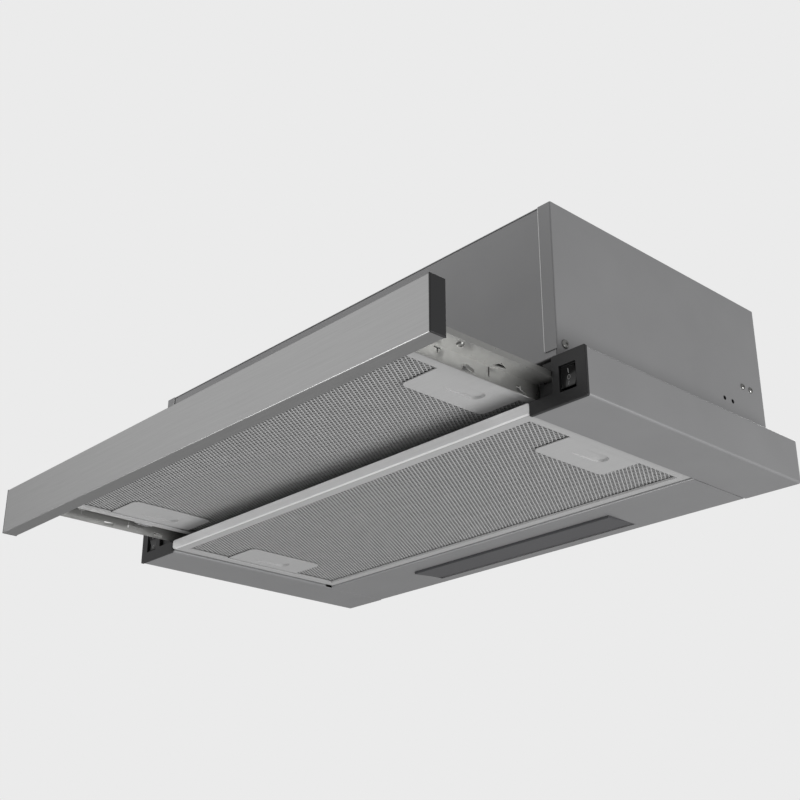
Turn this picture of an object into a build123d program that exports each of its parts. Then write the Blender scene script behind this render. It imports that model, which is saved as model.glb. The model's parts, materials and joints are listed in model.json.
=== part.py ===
from build123d import *
from math import cos, radians, sin
import os

# A telescopic cooker hood that hangs inside a wall cabinet (millimetres).
# The origin is the centre of the duct outlet on the roof of the housing. +X is the cook's right,
# the drawer opens towards -Y and +Z is up. Every profile below is drawn in three lengths that a
# fitter would measure: x from the middle, y back from the front of the base, z up from its underside.

WIDTH = 600  # base, side to side
DEPTH = 285  # base and housing, front to rear
HEIGHT = 176  # underside of the base to the roof
BASE_HEIGHT = 40
HOUSING_WIDTH = 547
SHEET = 0.8  # folded steel sheet
FOLD = 1.2  # outer radius of a fold
GAP = 0.3  # between pieces that slide past each other

HALF = WIDTH / 2
WALL = HOUSING_WIDTH / 2  # outer face of a housing side
INSIDE = WALL - SHEET
OPENING = 243  # half the width of the opening under the base
OPENING_REAR = 209.5
LIP = 11  # height of the rim round that opening
FACE = 1.6  # the base's sheet starts this far behind the front of the base

# Drawer
FACIA_HALF = 298.3
FACIA_BACK = -142.8
FACIA_FRONT = -157.3
FACIA_BOTTOM = -1
FACIA_TOP = 43
CAP = 1.5
FACIA_SLOT = (9, 33)  # open back of the facia
STIFFENER = 264
RAIL = 1.0  # thickness of a rail
RAIL_WEB = 248.5  # outer face of a rail's web
RAIL_EDGE = 266.3
RAIL_BOTTOM = 12.2
RAIL_FLANGE = 26  # upper face of a rail's flange
RAIL_TOP = 30
RAIL_FRONT = FACIA_BACK - SHEET
RAIL_REAR = 138
COVER_FRONT = FACIA_BACK + 0.1
COVER_HALF = 255
COVER_TOP = 37
COVER_REAR = 70

# Grease filters: a channel frame round expanded mesh, with a sliding latch at each side
FILTER_LENGTH = 205.8
FILTER_THICK = 8.3
FILTER_RIM = 8.5
FIXED_HALF = 240.7
FIXED_FRONT = 3.2
FIXED_BOTTOM = 2.5
FIXED_TONGUE = 241.9
DRAWER_HALF = 236.5
DRAWER_FRONT = -139.8
DRAWER_BOTTOM = 19.5
DRAWER_TONGUE = 242

# Blower and duct
COLLAR_RADIUS = 60
COLLAR_WALL = 1.5
COLLAR_HEIGHT = 40
OUTLET_Y = DEPTH / 2
AXLE_Y = 118
AXLE_Z = 110
WHEEL_RADIUS = 50
WHEEL_HALF = 34
SCROLL_HALF = 40
SHAFT_RADIUS = 4
BLADES = 36

SCREW_HEAD = 3.8
SCREW_SHANK = 1.9

os.makedirs("parts", exist_ok=True)


def level(z):
    """Horizontal plane, z above the underside of the base: draws (x, y)."""
    return Plane(origin=(0, -OUTLET_Y, z - HEIGHT), x_dir=(1, 0, 0), z_dir=(0, 0, 1))


def section(x):
    """Upright plane across the hood at x: draws (y, z) and extrudes towards +X."""
    return Plane(origin=(x, -OUTLET_Y, -HEIGHT), x_dir=(0, 1, 0), z_dir=(1, 0, 0))


def station(y):
    """Upright plane facing the cook, y behind the base front: draws (x, z), extrudes forward."""
    return Plane(origin=(0, y - OUTLET_Y, -HEIGHT), x_dir=(1, 0, 0), z_dir=(0, -1, 0))


def patch(a, b, mode=Mode.ADD):
    """Rectangle from a[0] to a[1] across and b[0] to b[1] up, in the open sketch."""
    with Locations(((a[0] + a[1]) / 2, (b[0] + b[1]) / 2)):
        Rectangle(a[1] - a[0], b[1] - b[0], mode=mode)


def block(x, y, z, mode=Mode.ADD):
    """Square-cut solid between two x, two y and two z values, in the open part."""
    with BuildSketch(level(z[0])) as outline:
        patch(x, y)
    extrude(outline.sketch, amount=z[1] - z[0], mode=mode)


def fold(*points, thickness=SHEET, radius=FOLD):
    """Face of a folded sheet whose outer skin follows the points, with the metal on its left."""
    with BuildLine() as skin:
        FilletPolyline(*points, radius=radius)
        offset(amount=thickness, side=Side.LEFT, kind=Kind.INTERSECTION)
    make_face(skin.edges())


def rod(plane, centre, radius, length, mode=Mode.ADD):
    """Round bar or hole along a plane's normal, in the open part."""
    with BuildSketch(plane) as disc:
        with Locations(centre):
            Circle(radius)
    extrude(disc.sketch, amount=length, mode=mode)


def save(piece, name):
    piece.part.label = name
    export_step(piece.part, f"parts/{name}.step")


def save_pair(right, name):
    """Write a right-hand piece and its mirror image."""
    with BuildPart() as left:
        mirror(right.part, about=Plane.YZ)
    save(right, f"{name}_right")
    save(left, f"{name}_left")


# ---------------------------------------------------------------- housing above the base
SIDE_FLANGE = 13
SIDE_FOOT = 14  # the side wall reaches down inside the base to here
FLANGE_FOOT = 47
FIXING_HOLES = ((222.5, 71), (234.7, 71))
FIXING_RADIUS = 2.1
SIDE_SCREWS = ((9, 52.5), (253, 90.3), (265.2, 90.3))
PANEL_HALF = 271.5
PANEL_FOOT = 41
ROOF_UNDER = HEIGHT - SHEET
ROOF_SKIRT = 163
OUTLET_HOLE = 55
GLAND_PLACE = (205, 240)
GLAND_RADIUS = 8
COLLAR_SCREWS = 66  # radius of the circle of screws round the collar
OUTLET_CENTRE = (0, OUTLET_Y)

with BuildPart() as housing_side:
    with BuildSketch(level(SIDE_FOOT)):
        fold((WALL - SIDE_FLANGE, 0), (WALL, 0), (WALL, DEPTH), (WALL - SIDE_FLANGE, DEPTH))
    extrude(amount=HEIGHT - SIDE_FOOT)
    block((0, INSIDE), (-1, DEPTH + 1), (0, FLANGE_FOOT), mode=Mode.SUBTRACT)
    block((0, HALF), (-1, 12), (0, BASE_HEIGHT + 1), mode=Mode.SUBTRACT)
    block((0, HALF), (DEPTH - 2, DEPTH + 1), (0, BASE_HEIGHT + 1), mode=Mode.SUBTRACT)
    for place in FIXING_HOLES:
        rod(section(WALL - 2), place, FIXING_RADIUS, 4, mode=Mode.SUBTRACT)
    for place in SIDE_SCREWS:
        rod(section(WALL - 2), place, SCREW_SHANK, 4, mode=Mode.SUBTRACT)
save_pair(housing_side, "housing_side")


def clear_side_screws():
    """Room for the screws of the housing sides, in the open part."""
    for side in (-1, 1):
        for place in SIDE_SCREWS:
            rod(section(side * (WALL - 4) - 4), place, SCREW_SHANK + 1, 8, mode=Mode.SUBTRACT)


with BuildPart() as front_panel:
    with BuildSketch(section(-PANEL_HALF)):
        fold((14, ROOF_UNDER), (SHEET, ROOF_UNDER), (SHEET, PANEL_FOOT), (10, PANEL_FOOT))
    extrude(amount=2 * PANEL_HALF)
    clear_side_screws()
save(front_panel, "housing_front_panel")

with BuildPart() as rear_panel:
    with BuildSketch(section(-PANEL_HALF)):
        back = DEPTH - SHEET
        fold((back - 9, PANEL_FOOT), (back, PANEL_FOOT), (back, ROOF_UNDER), (back - 13, ROOF_UNDER))
    extrude(amount=2 * PANEL_HALF)
    clear_side_screws()
save(rear_panel, "housing_rear_panel")

with BuildPart() as roof:
    with BuildSketch(station(DEPTH - SHEET)):
        edge = INSIDE - 0.1
        fold((edge, ROOF_SKIRT), (edge, HEIGHT), (-edge, HEIGHT), (-edge, ROOF_SKIRT))
    extrude(amount=DEPTH - 2 * SHEET)
    for y in ((0, 16), (DEPTH - 16, DEPTH)):
        block((-WALL, WALL), y, (ROOF_SKIRT - 1, ROOF_UNDER), mode=Mode.SUBTRACT)
    rod(level(HEIGHT - 2), OUTLET_CENTRE, OUTLET_HOLE, 4, mode=Mode.SUBTRACT)
    rod(level(HEIGHT - 2), GLAND_PLACE, GLAND_RADIUS + 0.2, 4, mode=Mode.SUBTRACT)
    with BuildSketch(level(HEIGHT - 2)):
        with Locations(OUTLET_CENTRE):
            with PolarLocations(COLLAR_SCREWS, 4, start_angle=45):
                Circle(SCREW_SHANK)
    extrude(amount=4, mode=Mode.SUBTRACT)
save(roof, "housing_roof")

# ---------------------------------------------------------------- base
BASE_FOLD = 2
LIP_REAR = 202
LENS_HALF = 131
LENS_FRONT = 232
LENS_REAR = 272
SEAM = 0.05  # open seam between a side of the base and its rear panel
REAR_HALF = OPENING - SEAM

with BuildPart() as base_side:
    with BuildSketch(station(DEPTH)):
        fold((OPENING, LIP), (OPENING, 0), (HALF, 0), (HALF, BASE_HEIGHT), (WALL + GAP, BASE_HEIGHT),
             radius=BASE_FOLD)
    extrude(amount=DEPTH - FACE)
    # the lip stops short of the rear panel and makes room for the ends of the front beam
    block((OPENING - 1, OPENING + BASE_FOLD), (LIP_REAR, DEPTH + 1), (SHEET, LIP + 1), mode=Mode.SUBTRACT)
    block((OPENING - 1, OPENING + SHEET), (FACE - 1, FACE + 1), (SHEET, LIP + 1), mode=Mode.SUBTRACT)
    # end plate
    block((OPENING + BASE_FOLD, HALF - SHEET), (DEPTH - SHEET, DEPTH),
          (SHEET / 2, BASE_HEIGHT - SHEET / 2))
save_pair(base_side, "base_side")

with BuildPart() as base_rear:
    with BuildSketch(section(-REAR_HALF)):
        fold((OPENING_REAR, LIP), (OPENING_REAR, 0), (DEPTH, 0), (DEPTH, BASE_HEIGHT),
             (DEPTH - 8, BASE_HEIGHT), radius=BASE_FOLD)
    extrude(amount=2 * REAR_HALF)
    for side in (-1, 1):
        tab = sorted((side * (REAR_HALF - 12), side * (OPENING + 12)))
        block(tab, (LENS_FRONT, LENS_REAR), (SHEET, 2 * SHEET))
    block((-LENS_HALF - 0.5, LENS_HALF + 0.5), (LENS_FRONT - 0.5, LENS_REAR + 0.5), (-1, 2),
          mode=Mode.SUBTRACT)
save(base_rear, "base_rear_panel")

BEAM_BOTTOM = 2.7
BEAM_TOP = 11.7
BEAM_THICK = 2.9
with BuildPart() as front_beam:
    with BuildSketch(station(BEAM_THICK)):
        with Locations((0, (BEAM_BOTTOM + BEAM_TOP) / 2)):
            RectangleRounded(2 * REAR_HALF, BEAM_TOP - BEAM_BOTTOM, 3)
    extrude(amount=BEAM_THICK)
    block((-OPENING - 8, OPENING + 8), (FACE, FACE + SHEET), (4, 9))
    front_edges = front_beam.faces().sort_by(Axis.Y)[0].edges()
    fillet(front_edges, 0.4)
save(front_beam, "front_beam")

# ---------------------------------------------------------------- switch bezels and rockers
BEZEL_FRONT = -0.8
BEZEL_BAR = 267
WINDOW_X = (274, 290)
WINDOW_Z = (9.5, 31)
ROCKER_X = (275.4, 288.6)
ROCKER_Y = 8
ROCKER_Z = (WINDOW_Z[0] + WINDOW_Z[1]) / 2
ROCKER_TILT = 8
PIVOT_RADIUS = 1.5
SWITCH_REAR = 26

with BuildPart() as bezel:
    with BuildSketch(station(FACE)):
        with BuildLine():
            FilletPolyline((OPENING, -0.5), (HALF, -0.5), (HALF, 41), (BEZEL_BAR, 41),
                           (BEZEL_BAR, LIP), (OPENING, LIP), radius=1.2, close=True)
        make_face()
        patch(WINDOW_X, WINDOW_Z, mode=Mode.SUBTRACT)
    extrude(amount=FACE - BEZEL_FRONT)
    fillet(bezel.faces().sort_by(Axis.Y)[0].edges(), 0.4)
    # sleeve behind the window that the switch snaps into
    with BuildSketch(station(FACE + 7)):
        patch((WINDOW_X[0] - 0.8, WINDOW_X[1] + 1.2), (WINDOW_Z[0] - 1.2, WINDOW_Z[1] + 1.2))
        patch(WINDOW_X, WINDOW_Z, mode=Mode.SUBTRACT)
    extrude(amount=7)
    # spigot that plugs the open end of the base
    with BuildSketch(station(FACE + 7)):
        patch((254, HALF - 4), (SHEET + GAP, SHEET + 2))
        patch((HALF - 3, HALF - SHEET - GAP), (4, BASE_HEIGHT - 4))
    extrude(amount=7)
save_pair(bezel, "bezel")


def add_switch_body():
    """Moulded switch case with an open front and three terminals, in the open part."""
    block((WINDOW_X[0] + GAP, WINDOW_X[1] - GAP), (1.2, SWITCH_REAR),
          (WINDOW_Z[0] + GAP, WINDOW_Z[1] - GAP))
    block((WINDOW_X[0] + 1, WINDOW_X[1] - 1), (0, 20), (WINDOW_Z[0] + 1, WINDOW_Z[1] - 1),
          mode=Mode.SUBTRACT)
    rod(section(WINDOW_X[0] + GAP), (ROCKER_Y, ROCKER_Z), PIVOT_RADIUS,
        WINDOW_X[1] - WINDOW_X[0] - 2 * GAP)
    for z in (ROCKER_Z - 5, ROCKER_Z, ROCKER_Z + 5):
        block((280, 284), (SWITCH_REAR, SWITCH_REAR + 7), (z - 0.4, z + 0.4))


def add_rocker(tilt):
    """Rocker cap with a hollowed face, turned about its pivot, in the open part."""
    with BuildSketch(section(ROCKER_X[0])) as outline:
        with Locations(Location((ROCKER_Y, ROCKER_Z), tilt)):
            with BuildSketch(mode=Mode.PRIVATE) as cheek:
                with BuildLine() as edge:
                    Polyline((-8.4, -8.4), (2.4, -7), (2.4, 7), (-8.4, 8.4))
                    ThreePointArc((-8.4, 8.4), (-6.9, 0), (-8.4, -8.4))
                make_face(edge.edges())
                Circle(PIVOT_RADIUS + 0.08, mode=Mode.SUBTRACT)
            add(cheek.sketch)
    extrude(outline.sketch, amount=ROCKER_X[1] - ROCKER_X[0])


with BuildPart() as fan_switch:
    add_switch_body()
save(fan_switch, "fan_switch_body")

with BuildPart() as light_switch:
    mirror(fan_switch.part, about=Plane.YZ)
save(light_switch, "light_switch_body")

with BuildPart() as fan_rocker:
    add_rocker(0)
save(fan_rocker, "fan_rocker")

with BuildPart() as light_rocker_drawn:
    add_rocker(ROCKER_TILT)
with BuildPart() as light_rocker:
    mirror(light_rocker_drawn.part, about=Plane.YZ)
save(light_rocker, "light_rocker")

# ---------------------------------------------------------------- drawer guides
RAIL_SCREW = (260, -91)
GUIDE_WEB = (268, 269)
GUIDE_FRONT = 34
SHOE_FRONT = 2.6
SHOE_INNER = RAIL_WEB + 3.5  # clears the tabs lanced out of the rail
LEDGE_REACH = 4  # how far the steel ledges reach in from the guide's web
FLANGE_UNDER = RAIL_FLANGE - RAIL

with BuildPart() as guide:
    with BuildSketch(station(DEPTH - 3)):
        patch(GUIDE_WEB, (12, 38))
        for z in ((12, 13), (37, 38)):
            patch((GUIDE_WEB[0], INSIDE), z)
        for z in ((FLANGE_UNDER - GAP - 1, FLANGE_UNDER - GAP), (RAIL_TOP + GAP, RAIL_TOP + GAP + 1)):
            patch((GUIDE_WEB[0] - LEDGE_REACH, GUIDE_WEB[0]), z)
    extrude(amount=DEPTH - 3 - GUIDE_FRONT)
save_pair(guide, "drawer_guide")

with BuildPart() as shoe:
    with BuildSketch(station(GUIDE_FRONT)):
        patch((SHOE_INNER, INSIDE), (LIP + GAP, FLANGE_UNDER - GAP))
        patch((COVER_HALF + 0.7, INSIDE), (RAIL_TOP + GAP, BASE_HEIGHT - SHEET))
        patch((RAIL_EDGE + GAP, INSIDE), (LIP + GAP, BASE_HEIGHT - SHEET))
    extrude(amount=GUIDE_FRONT - SHOE_FRONT)
    # room for the rail's screw heads, and for the sleeve of the bezel
    screw_room = (RAIL_SCREW[0] - 4, RAIL_SCREW[0] + 4)
    block(screw_room, (0, GUIDE_FRONT), (22.5, FLANGE_UNDER), mode=Mode.SUBTRACT)
    block((BEZEL_BAR, HALF), (0, 12), (0, BASE_HEIGHT), mode=Mode.SUBTRACT)
save_pair(shoe, "guide_shoe")

# ---------------------------------------------------------------- drawer
FACIA_SCREW = (255.5, 18.5)
TAB_PLACES = (-72, -15)
TAB_BOTTOM = 13.7
TAB_HEIGHT = 3

with BuildPart() as rail:
    with BuildSketch(station(RAIL_REAR)):
        patch((RAIL_WEB - RAIL, RAIL_WEB), (RAIL_BOTTOM, RAIL_FLANGE))
        patch((RAIL_WEB - RAIL, RAIL_EDGE), (RAIL_FLANGE - RAIL, RAIL_FLANGE))
        patch((RAIL_EDGE - RAIL, RAIL_EDGE), (RAIL_FLANGE - RAIL, RAIL_TOP))
    extrude(amount=RAIL_REAR - RAIL_FRONT)
    block((RAIL_WEB - RAIL, 262), (RAIL_FRONT, RAIL_FRONT + RAIL), (RAIL_BOTTOM, RAIL_FLANGE))
    # T-shaped slot, upright slit and two lanced tabs in the web
    with BuildSketch(section(RAIL_WEB - 2)):
        patch((-106, -99), (22, 23.2))
        patch((-103.2, -102), (18.5, 23.2))
        patch((-50.6, -49.4), (16, 24.6))
        for y in TAB_PLACES:
            patch((y - 5, y + 5), (TAB_BOTTOM - GAP, TAB_BOTTOM + TAB_HEIGHT + GAP))
    extrude(amount=3, mode=Mode.SUBTRACT)
    for y in TAB_PLACES:
        with BuildSketch(level(TAB_BOTTOM)):
            with BuildLine():
                Polyline((RAIL_WEB - 0.9, y + 7), (RAIL_WEB - 0.1, y + 7), (RAIL_WEB + 3, y - 3.6),
                         (RAIL_WEB + 2.4, y - 4.4), close=True)
            make_face()
        extrude(amount=TAB_HEIGHT)
    # three-cornered hole in the flange
    with BuildSketch(level(FLANGE_UNDER - 1)):
        with BuildLine():
            Polyline((251, -48), (258, -46), (253, -36), close=True)
        make_face()
        with Locations(RAIL_SCREW):
            Circle(SCREW_SHANK)
    extrude(amount=4, mode=Mode.SUBTRACT)
    rod(station(RAIL_FRONT + 2), FACIA_SCREW, SCREW_SHANK, 3, mode=Mode.SUBTRACT)
save_pair(rail, "drawer_rail")

with BuildPart() as cover:
    with BuildSketch(station(COVER_REAR)):
        fold((COVER_HALF, RAIL_FLANGE), (COVER_HALF, COVER_TOP), (-COVER_HALF, COVER_TOP),
             (-COVER_HALF, RAIL_FLANGE))
    extrude(amount=COVER_REAR - COVER_FRONT)
save(cover, "drawer_top_cover")

BAR_HALF = RAIL_WEB - RAIL
REAR_BAR = DRAWER_FRONT + FILTER_LENGTH
with BuildPart() as rear_bar:
    with BuildSketch(section(-BAR_HALF)):
        fold((REAR_BAR - 7, DRAWER_BOTTOM - GAP - SHEET), (REAR_BAR + 1.5, DRAWER_BOTTOM - GAP - SHEET),
             (REAR_BAR + 1.5, COVER_TOP - SHEET), (REAR_BAR - 6, COVER_TOP - SHEET), radius=1)
    extrude(amount=2 * BAR_HALF)
save(rear_bar, "drawer_rear_bar")

with BuildPart() as facia:
    with BuildSketch(section(CAP - FACIA_HALF)):
        fold((FACIA_BACK, FACIA_SLOT[1]), (FACIA_BACK, FACIA_TOP), (FACIA_FRONT, FACIA_TOP),
             (FACIA_FRONT, FACIA_BOTTOM), (FACIA_BACK, FACIA_BOTTOM), (FACIA_BACK, FACIA_SLOT[0]),
             radius=1)
    extrude(amount=2 * (FACIA_HALF - CAP))
save(facia, "facia_panel")

with BuildPart() as stiffener:
    with BuildSketch(station(RAIL_FRONT)):
        patch((-STIFFENER, STIFFENER), (2, 40))
        for side in (-1, 1):
            with Locations((side * FACIA_SCREW[0], FACIA_SCREW[1])):
                Circle(SCREW_SHANK, mode=Mode.SUBTRACT)
    extrude(amount=SHEET)
    for z in ((2, 2 + SHEET), (40 - SHEET, 40)):
        block((-STIFFENER, STIFFENER), (FACIA_FRONT + SHEET, RAIL_FRONT - SHEET), z)
save(stiffener, "facia_stiffener")

with BuildPart() as facia_cap:
    with BuildSketch(section(FACIA_HALF - CAP)):
        patch((FACIA_FRONT, FACIA_BACK), (FACIA_BOTTOM, FACIA_TOP))
    extrude(amount=CAP)
    fillet(facia_cap.faces().sort_by(Axis.X)[-1].edges(), 0.5)
    spigot_y = (FACIA_FRONT + SHEET + 0.1, FACIA_BACK - SHEET - 0.1)
    spigot_z = (FACIA_BOTTOM + SHEET + 0.1, FACIA_TOP - SHEET - 0.1)
    with BuildSketch(section(FACIA_HALF - CAP - 8)):
        patch(spigot_y, spigot_z)
        patch((spigot_y[0] + 1.5, spigot_y[1] - 1.5), (spigot_z[0] + 1.5, spigot_z[1] - 1.5),
              mode=Mode.SUBTRACT)
    extrude(amount=8)
save_pair(facia_cap, "facia_cap")

# ---------------------------------------------------------------- grease filters
LATCH_INNER = 51  # a latch plate reaches this far in from the edge of its filter
LATCH_LENGTH = 88
LATCH_SHEET = 0.8
TONGUE_LENGTH = 20
SCOOP_LENGTH = 40
SCOOP_WIDTH = 14
MESH_RECESS = 2.1
MESH_THICK = 2.4
MESH_INSET = 8  # the mesh pad stops this far inside the edge of the frame, at the sides
SPRING_RISE = 3.4
SCOOP_DEPTH = 2.2
SCOOP_INSET = 25  # from the latch's inner edge to the middle of its scoop
SPRING_PLACE = 28.5  # along the latch, from its middle to the middle of a spring


def add_filter_frame(half, front, bottom):
    """Channel-section frame with a slot at each side for a latch tongue, in the open part."""
    rear = front + FILTER_LENGTH
    middle = front + FILTER_LENGTH / 2
    block((-half, half), (front, rear), (bottom, bottom + FILTER_THICK))
    block((SHEET - half, half - SHEET), (front + SHEET, rear - SHEET),
          (bottom + SHEET, bottom + FILTER_THICK - SHEET), mode=Mode.SUBTRACT)
    block((FILTER_RIM - half, half - FILTER_RIM), (front + FILTER_RIM, rear - FILTER_RIM),
          (bottom - 1, bottom + FILTER_THICK + 1), mode=Mode.SUBTRACT)
    slot_y = (middle - TONGUE_LENGTH / 2 - GAP, middle + TONGUE_LENGTH / 2 + GAP)
    block((-half - 1, half + 1), slot_y, (bottom + SHEET, bottom + 2.4), mode=Mode.SUBTRACT)
    # the rims are hemmed up to the mesh, except where the latch plates slide through
    hem = (bottom + SHEET / 2, bottom + MESH_RECESS - 0.1)
    reach = half - FILTER_RIM + SHEET
    first, last = front + FILTER_RIM - SHEET, rear - FILTER_RIM + SHEET
    for y in ((first, first + SHEET), (last - SHEET, last)):
        block((-reach, reach), y, hem)
    latch_room = LATCH_LENGTH / 2 + 1
    for x in ((-reach, SHEET - reach), (reach - SHEET, reach)):
        block(x, (first, middle - latch_room), hem)
        block(x, (middle + latch_room, last), hem)


def add_mesh_pad(half, front, bottom):
    """Pack of expanded mesh held in the channel, with pockets over the latches' finger scoops."""
    base = bottom + MESH_RECESS
    middle = front + FILTER_LENGTH / 2
    block((MESH_INSET - half, half - MESH_INSET), (front + 1.2, front + FILTER_LENGTH - 1.2),
          (base, base + MESH_THICK))
    scoop = half - LATCH_INNER + SCOOP_INSET
    for side in (-1, 1):
        pocket = sorted((side * (scoop - 12), side * (scoop + 14)))
        block(pocket, (middle - 26, middle + 26), (base - 1, base + 3), mode=Mode.SUBTRACT)


def slope_under(start, end, depth, base):
    """Wedge that lies under a floor sinking from start to end, as a (y, z) outline."""
    return ((start, base - 1), (end, base - 1), (end, base + depth), (start, base + 0.1))


def add_scoop(x, middle, under):
    """Stadium-shaped dish whose floor sinks towards the rear, in the open part."""
    ends = (middle - SCOOP_LENGTH / 2 - SHEET, middle + SCOOP_LENGTH / 2 + SHEET)
    with BuildPart() as hollow:
        with BuildSketch(section(x - SCOOP_WIDTH)) as wedge:
            with BuildLine() as edge:
                Polyline(*slope_under(*ends, SCOOP_DEPTH, under), close=True)
            make_face(edge.edges())
        extrude(wedge.sketch, amount=2 * SCOOP_WIDTH)
        with BuildSketch(level(under - 2)) as inside:
            with Locations((x, middle)):
                SlotOverall(SCOOP_LENGTH, SCOOP_WIDTH, rotation=90)
        extrude(inside.sketch, amount=4 * SCOOP_DEPTH, mode=Mode.INTERSECT)
    with BuildPart() as dish:
        with BuildSketch(section(x - SCOOP_WIDTH)) as wedge:
            with BuildLine() as edge:
                Polyline(*slope_under(*ends, SCOOP_DEPTH, under + SHEET), close=True)
            make_face(edge.edges())
        extrude(wedge.sketch, amount=2 * SCOOP_WIDTH)
        with BuildSketch(level(under)) as outside:
            with Locations((x, middle)):
                SlotOverall(SCOOP_LENGTH + 2 * SHEET, SCOOP_WIDTH + 2 * SHEET, rotation=90)
        extrude(outside.sketch, amount=4 * SCOOP_DEPTH, mode=Mode.INTERSECT)
    add(dish.part)
    add(hollow.part, mode=Mode.SUBTRACT)


def add_latch(half, front, bottom, reach):
    """Right-hand latch: a sliding plate with a finger scoop, a tongue and a spring tab."""
    middle = front + FILTER_LENGTH / 2
    under = bottom + SHEET + GAP
    outer = half - SHEET - GAP
    inner = half - LATCH_INNER
    with BuildSketch(level(under)) as plate:
        patch((inner, outer), (middle - LATCH_LENGTH / 2, middle + LATCH_LENGTH / 2))
        fillet(plate.vertices().group_by(Axis.X)[0], 6)
        patch((outer - 1, reach), (middle - TONGUE_LENGTH / 2, middle + TONGUE_LENGTH / 2))
    extrude(plate.sketch, amount=LATCH_SHEET)
    add_scoop(inner + SCOOP_INSET, middle, under)
    for y in ((middle - LATCH_LENGTH / 2, middle - 13), (middle + 13, middle + LATCH_LENGTH / 2)):
        block((outer - LATCH_SHEET, outer), y, (under, under + 4.4))


def add_latch_springs(half, front, bottom):
    """Bowed leaf springs, two behind each latch, as separate solids in the open part."""
    middle = front + FILTER_LENGTH / 2
    outer = half - SHEET - GAP - 0.9
    for side in (-1, 1):
        for y in (middle - SPRING_PLACE, middle + SPRING_PLACE):
            with BuildSketch(level(bottom + 3)) as leaf:
                with BuildLine() as bow:
                    ThreePointArc((side * (outer - SPRING_RISE), y - 13), (side * (outer - 0.3), y),
                                  (side * (outer - SPRING_RISE), y + 13))
                trace(bow.edges(), line_width=0.4)
            extrude(leaf.sketch, amount=2.4)


for name, half, front, bottom, reach in (
    ("fixed_filter", FIXED_HALF, FIXED_FRONT, FIXED_BOTTOM, FIXED_TONGUE),
    ("drawer_filter", DRAWER_HALF, DRAWER_FRONT, DRAWER_BOTTOM, DRAWER_TONGUE),
):
    with BuildPart() as frame:
        add_filter_frame(half, front, bottom)
    save(frame, f"{name}_frame")
    with BuildPart() as pad:
        add_mesh_pad(half, front, bottom)
    save(pad, f"{name}_mesh")
    with BuildPart() as latch:
        add_latch(half, front, bottom, reach)
    save_pair(latch, f"{name}_latch")
    with BuildPart() as springs:
        add_latch_springs(half, front, bottom)
    save(springs, f"{name}_springs")


def add_catch(wall, reach, middle, hook_z):
    """Spring clip on an upright wall, hooked under a latch's tongue, in the open part."""
    arm = (middle - 6, middle + 6)
    block((reach - 0.4, reach + 0.3), arm, (hook_z, hook_z + 0.5))
    block((reach + 0.3, reach + 0.8), arm, (hook_z, hook_z + 5))
    block((reach + 0.3, wall), arm, (hook_z + 4.5, hook_z + 5))


with BuildPart() as base_catch:
    add_catch(OPENING, FIXED_TONGUE, FIXED_FRONT + FILTER_LENGTH / 2, FIXED_BOTTOM + GAP)
with BuildPart() as base_catches:
    mirror(base_catch.part, about=Plane.YZ)
    add(base_catch.part)
save(base_catches, "base_filter_catches")

with BuildPart() as drawer_catch:
    add_catch(BAR_HALF, DRAWER_TONGUE, DRAWER_FRONT + FILTER_LENGTH / 2, DRAWER_BOTTOM + GAP)
with BuildPart() as drawer_catches:
    mirror(drawer_catch.part, about=Plane.YZ)
    add(drawer_catch.part)
save(drawer_catches, "drawer_filter_catches")

# ---------------------------------------------------------------- duct collar and damper
FLAP_RADIUS = 57.6
FLAP_THICK = 1.0
FLAP_BOTTOM = 183
PIN_RADIUS = 1.5
PIN_Z = 186.4
KNUCKLE_RADIUS = 3.2
HINGE_GAP = 3.8  # the flap's sheet starts this far from the pin
COLLAR_BORE = COLLAR_RADIUS - COLLAR_WALL

with BuildPart() as collar:
    with BuildSketch(level(HEIGHT)):
        with Locations(OUTLET_CENTRE):
            Circle(COLLAR_RADIUS + 12)
            Circle(COLLAR_BORE - 3, mode=Mode.SUBTRACT)
            with PolarLocations(COLLAR_SCREWS, 4, start_angle=45):
                Circle(SCREW_SHANK, mode=Mode.SUBTRACT)
    extrude(amount=1.5)
    with BuildSketch(level(HEIGHT + 1.5)):
        with Locations(OUTLET_CENTRE):
            Circle(COLLAR_RADIUS)
            Circle(COLLAR_BORE, mode=Mode.SUBTRACT)
    extrude(amount=COLLAR_HEIGHT - 1.5)
    # ledge that the flaps close on
    with BuildSketch(level(FLAP_BOTTOM - GAP - 1.2)):
        with Locations(OUTLET_CENTRE):
            Circle(COLLAR_BORE + 0.5)
            Circle(COLLAR_BORE - 3, mode=Mode.SUBTRACT)
    extrude(amount=1.2)
    rod(section(-COLLAR_RADIUS - 1), (OUTLET_Y, PIN_Z), PIN_RADIUS, 2 * COLLAR_RADIUS + 2,
        mode=Mode.SUBTRACT)
save(collar, "duct_collar")

with BuildPart() as flap_pin:
    rod(section(-COLLAR_RADIUS), (OUTLET_Y, PIN_Z), PIN_RADIUS, 2 * COLLAR_RADIUS)
save(flap_pin, "flap_hinge_pin")


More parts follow.
